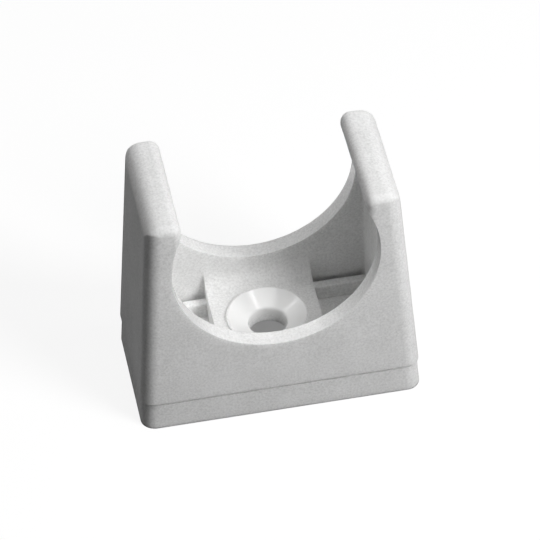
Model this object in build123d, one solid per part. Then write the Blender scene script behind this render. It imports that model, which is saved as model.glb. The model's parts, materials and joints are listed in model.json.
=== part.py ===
from build123d import *
from math import cos, radians, sin, sqrt, tan
import os

# A moulded snap-in pipe clip, in millimetres. The mounting face lies on z = 0 with the origin at its centre,
# the pipe runs along y, and the mouth that the pipe is pressed through opens upwards.

# Pipe and grip
PIPE_DIAMETER = 32.0
SADDLE_HEIGHT = 14.1
GRIP_ANGLE = 28.7
LIP_HEIGHT = 2.1
ARM_WALL = 4.05

# Outer form
CLIP_DEPTH = 23.3
PLINTH_HEIGHT = 5.1
SEAM_STEP = 0.25
SEAM_WIDTH = 0.45
SEAM_DEPTH = 0.35
SIDE_DRAFT = 4.2
FACE_DRAFT = 1.7
CORNER_RADIUS = 2.3
SHOULDER_RADIUS = 2.7
NOSE_RADIUS = 1.6
EDGE_RADIUS = 1.3

# Hollow between the end plates
PLATE_WALL = 2.65
HOLLOW_RELIEF = 1.2
HOLLOW_RADIUS = 0.6
LIP_STEP = 0.2
FLOOR_HEIGHT = 4.7

# Screw pad
PAD_WIDTH = 16.85
PAD_RISE = 4.5
PAD_BLEND = 3.3
SCREW_DIAMETER = 6.1
SEAT_DIAMETER = 12.1
SEAT_DEPTH = 1.2
SEAT_BLEND = 0.5
BEAD_WIDTH = 0.45
BEAD_HEIGHT = 0.35

# Cross ribs beside the pad
RIB_WALL = 1.5
RIB_RISE = 2.6
RIB_GAP = 0.85
INNER_RADIUS = 0.25

# Cored underside
CORE_WALL = 2.7
CORE_RADIUS = 1.0

# Places that follow from the sizes above
bore_radius = PIPE_DIAMETER / 2
bore_height = SADDLE_HEIGHT + bore_radius
neck_half = bore_radius * cos(radians(GRIP_ANGLE))
neck_height = bore_height + bore_radius * sin(radians(GRIP_ANGLE))
top_height = neck_height + LIP_HEIGHT
edge_radius = min(EDGE_RADIUS, 0.9 * NOSE_RADIUS)
side_slope = tan(radians(SIDE_DRAFT))
face_slope = tan(radians(FACE_DRAFT))
hollow_half = bore_radius + HOLLOW_RELIEF
pad_half = PAD_WIDTH / 2
pad_height = FLOOR_HEIGHT + PAD_RISE
bead_top = pad_height + BEAD_HEIGHT
seat_bottom = pad_height - SEAT_DEPTH
reach = PIPE_DIAMETER + CLIP_DEPTH + top_height


def half_width(z):
    """Half the body's width at a height."""
    return bore_radius + ARM_WALL + (bore_height - z) * side_slope


def half_depth(z):
    """Half the body's depth along the pipe at a height."""
    return CLIP_DEPTH / 2 - (z - PLINTH_HEIGHT) * face_slope


def along_pipe(outline):
    """Extrudes a front-view outline along the pipe, past both end faces."""
    return extrude(Plane.XZ * outline, amount=reach, both=True)


def trapezoid(half_size, inset, low, high):
    """An outline between two heights that keeps the draft of a half size, moved in by an inset."""
    bottom = half_size(low) - inset
    top = half_size(high) - inset
    return make_face(Polyline((-bottom, low), (bottom, low), (top, high), (-top, high), close=True))


def drafted_slab(inset, low, high):
    """A wide slab between the drafted end faces, moved in by an inset."""
    return extrude(Plane.YZ * trapezoid(half_depth, inset, low, high), amount=reach, both=True)


def drafted_block(inset, low, high):
    """A block with drafted sides and end faces and rounded upright corners."""
    block = along_pipe(trapezoid(half_width, inset, low, high)) & drafted_slab(inset, low, high)
    uprights = block.edges().filter_by(lambda edge: abs(edge.tangent_at(0.5).Z) > 0.9)
    return fillet(uprights, CORNER_RADIUS)


def box_between(low, high):
    """A box from its lowest to its highest corner."""
    size = [b - a for a, b in zip(low, high)]
    return Pos(*low) * Box(*size, align=(Align.MIN, Align.MIN, Align.MIN))


def top_corners(outline):
    """The corners on an outline's top edge, from the middle outwards."""
    return outline.vertices().group_by(Axis.Y)[-1].sort_by(lambda corner: abs(corner.X))


def arm_outline():
    """The body's front outline with the mouth between the arms, their noses and their shoulders."""
    mouth = Pos(0, top_height) * Rectangle(2 * neck_half, 2 * (top_height - bore_height))
    outline = trapezoid(half_width, 0, PLINTH_HEIGHT, top_height) - mouth
    outline = fillet(top_corners(outline)[:2], NOSE_RADIUS)
    return fillet(top_corners(outline)[-2:], SHOULDER_RADIUS)


def end_faces(body):
    """The two faces across the pipe, front and rear."""
    return body.faces().filter_by(lambda face: abs(face.normal_at().Y) > 0.9)


def armed_body():
    """The tapered body above the seam with its soft-edged arms, before it is bored and hollowed."""
    arms = along_pipe(arm_outline()) & drafted_slab(0, PLINTH_HEIGHT, top_height)
    edges = [edge for face in end_faces(arms) for edge in face.edges()]
    arms = fillet([edge for edge in edges if abs(edge.center().X) > neck_half], edge_radius)
    return arms & drafted_block(0, PLINTH_HEIGHT, top_height)


def plinth():
    """The foot below the seam, a little inside the body, with the fine groove that parts the two."""
    foot = drafted_block(SEAM_STEP, 0, PLINTH_HEIGHT - SEAM_WIDTH)
    return foot + drafted_block(SEAM_STEP + SEAM_DEPTH, PLINTH_HEIGHT / 2, PLINTH_HEIGHT)


def bore():
    """The round way through both plates that the pipe lies in."""
    return Pos(0, 0, bore_height) * Rot(90, 0, 0) * Cylinder(bore_radius, reach)


def hollow():
    """The space between the end plates, wider than the bore below the lips and straight down to the floor."""
    middle = neck_height + LIP_STEP - sqrt(hollow_half**2 - neck_half**2)
    well = Pos(0, (middle + FLOOR_HEIGHT) / 2) * Rectangle(2 * hollow_half, middle - FLOOR_HEIGHT)
    outline = Pos(0, middle) * Circle(hollow_half) + well
    space = along_pipe(outline) & drafted_slab(PLATE_WALL, FLOOR_HEIGHT, top_height)
    corners = [edge for face in end_faces(space) for edge in face.edges() if abs(edge.center().X) > neck_half]
    return fillet(corners, HOLLOW_RADIUS)


def screw_pad():
    """The raised pad across the middle of the floor, swept up into both plates."""
    depth = half_depth(FLOOR_HEIGHT) - PLATE_WALL / 2
    low = (-pad_half, -depth, FLOOR_HEIGHT - CORE_WALL / 2)
    pad = box_between(low, (pad_half, depth, pad_height + 2 * PAD_BLEND))
    space = drafted_slab(PLATE_WALL, pad_height, top_height)
    return pad - fillet(space.edges().filter_by(Axis.X).group_by(Axis.Z)[0], PAD_BLEND)


def cross_ribs():
    """The low ribs beside the pad, one by each plate on both sides."""
    far = half_depth(FLOOR_HEIGHT) - PLATE_WALL - RIB_GAP
    low = (pad_half - RIB_WALL, far - RIB_WALL, FLOOR_HEIGHT - CORE_WALL / 2)
    high = (hollow_half + RIB_WALL, far, FLOOR_HEIGHT + RIB_RISE)
    rib = box_between(low, high)
    rib = fillet(rib.edges().filter_by(Axis.X).group_by(Axis.Z)[-1], INNER_RADIUS)
    pair = [rib, mirror(rib, Plane.XZ)]
    return pair + [mirror(one, Plane.YZ) for one in pair]


def seat_bead():
    """The fine raised ring round the screw seat."""
    low = pad_height - SEAT_DEPTH / 2
    disc = Pos(0, 0, low) * Circle(SEAT_DIAMETER / 2 + BEAD_WIDTH)
    bead = extrude(disc, amount=bead_top - low)
    return fillet(bead.edges().group_by(Axis.Z)[-1], BEAD_HEIGHT / 2)


def screw_way():
    """The dished seat for the screw's head and the hole for its shank."""
    seat_radius = SEAT_DIAMETER / 2
    hole_radius = SCREW_DIAMETER / 2
    wall = [(0, 0), (hole_radius, 0), (hole_radius, seat_bottom), (seat_radius, bead_top), (0, bead_top)]
    outline = make_face(Polyline(*wall, close=True))
    foot = outline.vertices().sort_by_distance((hole_radius, seat_bottom))[0]
    return revolve(Plane.XZ * fillet(foot, SEAT_BLEND), Axis.Z)


def cores():
    """The recesses in the underside that keep the moulding's walls even."""
    depth = half_depth(0) - SEAM_STEP - CORE_WALL
    inner = pad_half - CORE_WALL
    outer = half_width(0) - SEAM_STEP - CORE_WALL
    middle = extrude(RectangleRounded(2 * inner, 2 * depth, CORE_RADIUS), amount=seat_bottom - CORE_WALL)
    side = RectangleRounded(outer - pad_half, 2 * depth, CORE_RADIUS)
    side = extrude(Pos((outer + pad_half) / 2, 0) * side, amount=FLOOR_HEIGHT - CORE_WALL)
    return [middle, side, mirror(side, Plane.YZ)]


def build_clip():
    """The whole moulding."""
    clip = armed_body() + plinth()
    clip = clip - hollow()
    clip = clip + screw_pad() + cross_ribs() + seat_bead()
    return clip - bore() - screw_way() - cores()


os.makedirs("parts", exist_ok=True)
export_step(build_clip().solid(), "parts/pipe_clip.step")
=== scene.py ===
import json
from math import cos, pi, radians, sin

import bmesh
import bpy
from mathutils import Matrix, Vector


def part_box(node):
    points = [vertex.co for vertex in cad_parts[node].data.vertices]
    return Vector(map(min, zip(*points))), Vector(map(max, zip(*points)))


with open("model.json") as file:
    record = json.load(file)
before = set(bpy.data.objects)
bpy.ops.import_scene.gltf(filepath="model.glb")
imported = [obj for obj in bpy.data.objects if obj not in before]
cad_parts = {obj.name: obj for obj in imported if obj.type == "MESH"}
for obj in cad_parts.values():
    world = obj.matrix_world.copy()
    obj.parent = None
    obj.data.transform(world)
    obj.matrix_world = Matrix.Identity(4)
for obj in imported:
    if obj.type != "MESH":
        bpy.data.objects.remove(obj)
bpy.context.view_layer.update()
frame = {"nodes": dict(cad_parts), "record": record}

# A moulded white plastic pipe clip standing on its mounting face. Lengths are in metres, angles in degrees.
MM = 0.001

# Camera: where it looks and from how far, its turn to the left of the clip's front, its height and its roll
AIM = Vector((0.7, 0.0, 18.8)) * MM
VIEW_DISTANCE = 640.8 * MM
VIEW_AZIMUTH = 9.18
VIEW_ELEVATION = 42.98
VIEW_ROLL = -2.32
LENS_MM = 277.6
SENSOR_MM = 36.0

# Floor paper: the grey that light bounces from, the grey and the glow that the camera sees,
# and the grey and the glow under the clip's foot, whose soft edge is a share of its half size
FLOOR_SIZE = 3.0
FLOOR_BOUNCE = 0.2
FLOOR_GREY = 0.18
FLOOR_GLOW = 0.86
FOOT_GREY = 0.8
FOOT_GLOW = 0.2
FOOT_EDGE = 0.04

# Surroundings, and lamps as name, azimuth, height, distance, size and strength.
# Azimuth 0 is the clip's right and 270 its front, and strength 1 lights a facing surface to its own colour.
WHITE = (1, 1, 1, 1)
LAMP_AIM = Vector((0, 0, 20)) * MM
LAMPS = (
    ("key_lamp", 313, 40, 0.37, 0.15, 0.82),
    ("back_panel", 92, 9, 0.6, 0.4, 0.4),
    ("rear_left_panel", 124, 45, 0.6, 0.2, 0.1),
    ("top_panel", 270, 86, 0.6, 0.3, 0.16),
    ("overhead_lamp", 347, 70, 0.6, 0.09, 0.035),
    ("rear_left_lamp", 142, 48, 0.6, 0.09, 0.025),
)

# Plastic: its two tones, the grain and the clouds that mix them, and its skin.
# The shaded tone ends and the full tone starts at the ends of TONE_RANGE, and over GRAIN_RANGE the skin
# goes from its least to its most matt.
PLASTIC = (0.965, 0.965, 0.96, 1)
PLASTIC_SHADED = (0.725, 0.725, 0.72, 1)
TONE_RANGE = (0.3, 0.65)
GRAIN_SIZE = 0.34 * MM
GRAIN_DETAIL = 3
GRAIN_RANGE = (0.2, 0.8)
GRAIN_HEIGHT = 0.012 * MM
CLOUD_SIZE = 7.0 * MM
CLOUD_DETAIL = 2
CLOUD_SHARE = 0.25
NOISE_FALLOFF = 0.6
SKIN_DEPTH = 0.9 * MM
REFRACTION = 1.47
SHINE = 0.15
MATT = 0.8
MATT_SPREAD = 0.08

# Polish of the screw seat and the bore, and the share of the grain's height that is left there. The seat's
# even tone is painted light, set lighter than the plastic for the brightly lit dish
POLISH_BLUR = 0.12
POLISHED_GRAIN = 0.15
SEAT_RADIUS = 6.3 * MM
SEAT_HEIGHT = 9.2 * MM
SEAT_DEPTH = 3.0 * MM
SEAT_EDGE = 0.3 * MM
# Painted light: the seat's even tone sits higher on the tone ramp than the plastic's mean, for the brightly
# lit dish
PAINTED_LIGHT_SEAT_TONE = 0.52
BORE_EDGE = 0.1 * MM


def add_node(tree, kind, inputs=None, **settings):
    """Adds a shader node, with settings by attribute and constant inputs by name or number."""
    node = tree.nodes.new(kind)
    for name, value in settings.items():
        setattr(node, name, value)
    for key, value in (inputs or {}).items():
        node.inputs[key].default_value = value
    return node


def new_material(name):
    """An empty node material and its output node."""
    material = bpy.data.materials.new(name)
    material.use_nodes = True
    material.node_tree.nodes.clear()
    return material, add_node(material.node_tree, "ShaderNodeOutputMaterial")


def noise(tree, place, size, detail):
    """A noise pattern with features of a given size."""
    inputs = {"Scale": 1 / size, "Detail": detail, "Roughness": NOISE_FALLOFF}
    texture = add_node(tree, "ShaderNodeTexNoise", inputs)
    tree.links.new(place, texture.inputs["Vector"])
    return texture.outputs["Fac"]


def between(tree, value, low, high, start=0.0, end=1.0):
    """Maps a value from a range to another, smoothly and without passing its ends."""
    ranged = add_node(
        tree,
        "ShaderNodeMapRange",
        {"From Min": low, "From Max": high, "To Min": start, "To Max": end},
        interpolation_type="SMOOTHSTEP",
    )
    tree.links.new(value, ranged.inputs["Value"])
    return ranged.outputs["Result"]


def larger(tree, first, second):
    """The larger of two values."""
    either = add_node(tree, "ShaderNodeMath", operation="MAXIMUM")
    tree.links.new(first, either.inputs[0])
    tree.links.new(second, either.inputs[1])
    return either.outputs["Value"]


def distance_from(tree, place, centre, axes):
    """How far a place is from a centre, with each axis scaled and an axis of 0 left out."""
    offset = add_node(tree, "ShaderNodeVectorMath", {1: centre}, operation="SUBTRACT")
    tree.links.new(place, offset.inputs[0])
    scaled = add_node(tree, "ShaderNodeVectorMath", {1: axes}, operation="MULTIPLY")
    tree.links.new(offset.outputs["Vector"], scaled.inputs[0])
    length = add_node(tree, "ShaderNodeVectorMath", operation="LENGTH")
    tree.links.new(scaled.outputs["Vector"], length.inputs[0])
    return length.outputs["Value"]


def mount(name):
    """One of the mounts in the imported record."""
    return next(entry for entry in frame["record"]["mounts"] if entry["name"] == name)


def seat_mask(tree, place):
    """1 in the dished seat round the screw hole and 0 elsewhere."""
    across, along, _ = mount("screw_hole")["pos_m"]
    away = distance_from(tree, place, (across, along, SEAT_HEIGHT), (1, 1, SEAT_RADIUS / SEAT_DEPTH))
    return between(tree, away, SEAT_RADIUS - SEAT_EDGE, SEAT_RADIUS, 1, 0)


def bore_mask(tree, place):
    """1 on the bore that the pipe lies in and 0 elsewhere."""
    grip = mount("pipe_grip")
    radius = grip["dims"]["r_mm"] * MM
    away = distance_from(tree, place, grip["pos_m"], (1, 0, 1))
    return between(tree, away, radius, radius + BORE_EDGE, 1, 0)


def plastic_colour(tree, place, grain, seat):
    """Two close tones mixed by the grain and faint clouds, and one even tone in the screw seat, set lighter
    as painted light.
    """
    mottled = add_node(tree, "ShaderNodeMix", {"Factor": CLOUD_SHARE}, data_type="FLOAT")
    tree.links.new(grain, mottled.inputs["A"])
    tree.links.new(noise(tree, place, CLOUD_SIZE, CLOUD_DETAIL), mottled.inputs["B"])
    # Painted light: in the screw seat the mottled tone gives way to one lighter even tone
    tone = add_node(tree, "ShaderNodeMix", {"B": PAINTED_LIGHT_SEAT_TONE}, data_type="FLOAT")
    tree.links.new(seat, tone.inputs["Factor"])
    tree.links.new(mottled.outputs["Result"], tone.inputs["A"])
    colour = add_node(tree, "ShaderNodeValToRGB")
    for stop, position, shade in zip(colour.color_ramp.elements, TONE_RANGE, (PLASTIC_SHADED, PLASTIC)):
        stop.position = position
        stop.color = shade
    tree.links.new(tone.outputs["Result"], colour.inputs["Fac"])
    return colour.outputs["Color"]


def plastic_relief(tree, grain, polished):
    """The grain's bump, mostly smoothed away where the plastic is polished."""
    bump = add_node(tree, "ShaderNodeBump", {"Distance": GRAIN_HEIGHT})
    tree.links.new(between(tree, polished, 0, 1, 1, POLISHED_GRAIN), bump.inputs["Strength"])
    tree.links.new(grain, bump.inputs["Height"])
    return bump.outputs["Normal"]


def clip_plastic():
    """White moulding plastic: a fine matt grain with faint clouding, a polished screw seat and bore, and
    painted light that makes the seat's tone lighter.
    """
    material, output = new_material("clip_plastic")
    tree = material.node_tree
    place = add_node(tree, "ShaderNodeTexCoord").outputs["Object"]
    grain = noise(tree, place, GRAIN_SIZE, GRAIN_DETAIL)
    seat = seat_mask(tree, place)
    polished = larger(tree, seat, bore_mask(tree, place))
    roughness = between(tree, grain, *GRAIN_RANGE, MATT - MATT_SPREAD, MATT + MATT_SPREAD)
    shader = add_node(
        tree,
        "ShaderNodeBsdfPrincipled",
        {
            "IOR": REFRACTION,
            "Specular IOR Level": SHINE,
            "Coat Roughness": POLISH_BLUR,
            "Subsurface Weight": 1,
            "Subsurface Radius": (1, 1, 1),
            "Subsurface Scale": SKIN_DEPTH,
        },
    )
    tree.links.new(plastic_colour(tree, place, grain, seat), shader.inputs["Base Color"])
    tree.links.new(roughness, shader.inputs["Roughness"])
    tree.links.new(polished, shader.inputs["Coat Weight"])
    tree.links.new(plastic_relief(tree, grain, polished), shader.inputs["Normal"])
    tree.links.new(shader.outputs["BSDF"], output.inputs["Surface"])
    return material


def seen_directly(tree):
    """1 for what the camera sees, also in a reflection or through glass, and 0 for light that bounces."""
    path = add_node(tree, "ShaderNodeLightPath")
    seen = path.outputs["Is Camera Ray"]
    for name in ("Is Glossy Ray", "Is Transmission Ray"):
        seen = larger(tree, seen, path.outputs[name])
    return seen


def foot_mask(tree):
    """1 on the floor under the clip's foot and 0 beside it."""
    half_width, half_depth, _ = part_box("pipe_clip")[1]
    place = add_node(tree, "ShaderNodeTexCoord").outputs["Object"]
    shares = add_node(tree, "ShaderNodeVectorMath", {1: (half_width, half_depth, 1)}, operation="DIVIDE")
    tree.links.new(place, shares.inputs[0])
    sizes = add_node(tree, "ShaderNodeVectorMath", operation="ABSOLUTE")
    tree.links.new(shares.outputs["Vector"], sizes.inputs[0])
    parts = add_node(tree, "ShaderNodeSeparateXYZ")
    tree.links.new(sizes.outputs["Vector"], parts.inputs["Vector"])
    farthest = larger(tree, parts.outputs["X"], parts.outputs["Y"])
    return between(tree, farthest, 1 - 2 * FOOT_EDGE, 1 - FOOT_EDGE, 1, 0)


def paper(tree, beside, under, foot):
    """Diffuse grey paper with one level beside the clip and another under its foot."""
    level = between(tree, foot, 0, 1, beside, under)
    shader = add_node(tree, "ShaderNodeBsdfDiffuse")
    tree.links.new(level, shader.inputs["Color"])
    return shader.outputs["BSDF"]


def floor_paper():
    """Paper that the camera sees as white with the clip's shadow on it, and dimmer under its foot."""
    material, output = new_material("floor_paper")
    tree = material.node_tree
    foot = foot_mask(tree)
    glow = add_node(tree, "ShaderNodeEmission")
    tree.links.new(between(tree, foot, 0, 1, FLOOR_GLOW, FOOT_GLOW), glow.inputs["Strength"])
    seen = add_node(tree, "ShaderNodeAddShader")
    tree.links.new(glow.outputs["Emission"], seen.inputs[0])
    tree.links.new(paper(tree, FLOOR_GREY, FOOT_GREY, foot), seen.inputs[1])
    chosen = add_node(tree, "ShaderNodeMixShader")
    tree.links.new(seen_directly(tree), chosen.inputs["Fac"])
    tree.links.new(paper(tree, FLOOR_BOUNCE, FOOT_GREY, foot), chosen.inputs[1])
    tree.links.new(seen.outputs["Shader"], chosen.inputs[2])
    tree.links.new(chosen.outputs["Shader"], output.inputs["Surface"])
    return material


def lay_floor():
    """The floor that the clip stands on."""
    mesh = bpy.data.meshes.new("floor")
    shape = bmesh.new()
    bmesh.ops.create_grid(shape, x_segments=1, y_segments=1, size=FLOOR_SIZE / 2)
    shape.to_mesh(mesh)
    shape.free()
    floor = bpy.data.objects.new("floor", mesh)
    bpy.context.scene.collection.objects.link(floor)
    mesh.materials.append(floor_paper())


def white_surroundings():
    """A world that the camera sees as white and that adds no light of its own."""
    world = bpy.data.worlds.new("surroundings")
    bpy.context.scene.world = world
    world.use_nodes = True
    tree = world.node_tree
    background = tree.nodes["Background"]
    background.inputs["Color"].default_value = WHITE
    tree.links.new(seen_directly(tree), background.inputs["Strength"])


def towards(azimuth, height):
    """The direction at an azimuth and a height."""
    around, up = radians(azimuth), radians(height)
    return Vector((cos(around) * cos(up), sin(around) * cos(up), sin(up)))


def hang_lamp(name, azimuth, height, distance, size, strength):
    """A round lamp that faces the clip, with the power that its strength takes at its distance."""
    data = bpy.data.lights.new(name, "AREA")
    data.shape = "DISK"
    data.size = size
    data.energy = strength * pi**2 * distance**2
    lamp = bpy.data.objects.new(name, data)
    bpy.context.scene.collection.objects.link(lamp)
    direction = towards(azimuth, height)
    turn = direction.to_track_quat("Z", "Y").to_matrix().to_4x4()
    lamp.matrix_world = Matrix.Translation(LAMP_AIM + direction * distance) @ turn


def place_camera():
    """The camera at the photograph's viewing angle."""
    data = bpy.data.cameras.new("camera")
    data.lens = LENS_MM
    data.sensor_width = SENSOR_MM
    data.clip_start = MM
    camera = bpy.data.objects.new("camera", data)
    bpy.context.scene.collection.objects.link(camera)
    turn = Matrix.Rotation(radians(-VIEW_AZIMUTH), 4, "Z")
    turn @= Matrix.Rotation(radians(90 - VIEW_ELEVATION), 4, "X")
    turn @= Matrix.Rotation(radians(VIEW_ROLL), 4, "Z")
    camera.matrix_world = Matrix.Translation(AIM) @ turn @ Matrix.Translation((0, 0, VIEW_DISTANCE))
    bpy.context.scene.camera = camera


clip = frame["nodes"]["pipe_clip"]
clip.data.materials.clear()
clip.data.materials.append(clip_plastic())
lay_floor()
white_surroundings()
for lamp in LAMPS:
    hang_lamp(*lamp)
place_camera()
bpy.context.scene.view_settings.view_transform = "Standard"
